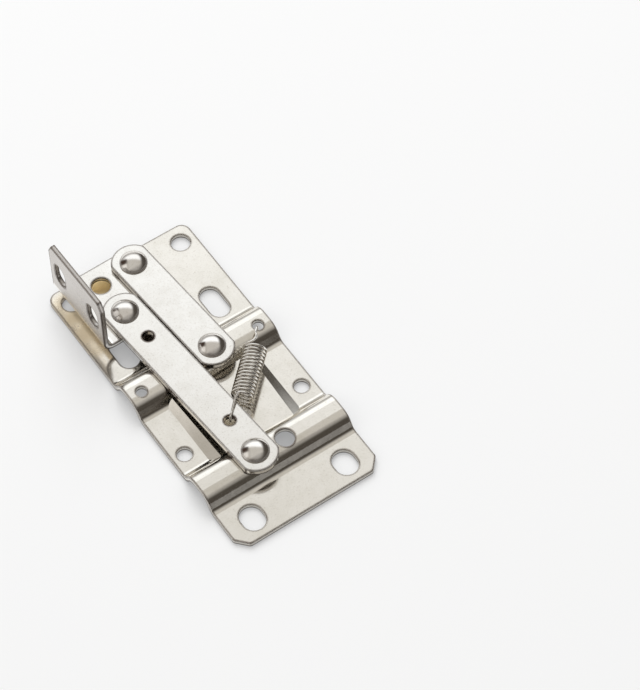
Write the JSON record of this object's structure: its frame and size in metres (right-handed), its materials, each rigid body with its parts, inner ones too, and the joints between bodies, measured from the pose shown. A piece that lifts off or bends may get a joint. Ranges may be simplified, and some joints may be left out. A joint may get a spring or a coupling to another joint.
{
  "type": "tip-out tray hinge",
  "caption": "Scissor hinge for a tip-out kitchen tray front: ribbed base plate, slotted angle bracket, two arms on domed rivets and a tension spring.",
  "frame": {"origin": "middle of the base plate on its mounting face", "axes": "+X along the base plate from the bracket end to the other end, +Y across it away from the bracket's upright, +Z out of the mounting face"},
  "size_m": [0.1, 0.047, 0.0263],
  "materials": {
    "plated_sheet": "bright zinc or nickel plate",
    "rivet_steel": "bright plate",
    "spring_steel": "bright plated wire"
  },
  "bodies": {
    "base": {"base_plate": "plated_sheet", "rivet_short_arm_base": "rivet_steel", "rivet_long_arm_base": "rivet_steel", "tension_spring": "spring_steel"},
    "long_link": {"long_arm": "plated_sheet"},
    "short_link": {"short_arm": "plated_sheet", "rivet_short_arm_bracket": "rivet_steel"},
    "bracket": {"door_bracket": "plated_sheet", "rivet_long_arm_bracket": "rivet_steel"}
  },
  "joints": [
    {"name": "long_arm_swing", "type": "hinge", "parent": "base", "child": "long_link", "pos_m": [0.0295, -0.00485, 0.0067], "axis": [0, 0, 1], "range_deg": [0, 40], "stiffness_Nm_per_rad": 0.09, "deforming": ["tension_spring"]},
    {"name": "bracket_turn", "type": "hinge", "parent": "long_link", "child": "bracket", "pos_m": [-0.02935, -0.00952, 0.0057], "axis": [0, 0, 1], "range_deg": [-72.5, 0]},
    {"name": "short_arm_swing", "type": "hinge", "parent": "base", "child": "short_link", "pos_m": [-0.0059, 0.00435, 0.0067], "axis": [0, 0, 1], "range_deg": [0, 67]}
  ],
  "couplings": [
    {"joint": "bracket_turn", "follows": "long_arm_swing", "ratio": -1.8115},
    {"joint": "short_arm_swing", "follows": "long_arm_swing", "ratio": 1.6724}
  ]
}
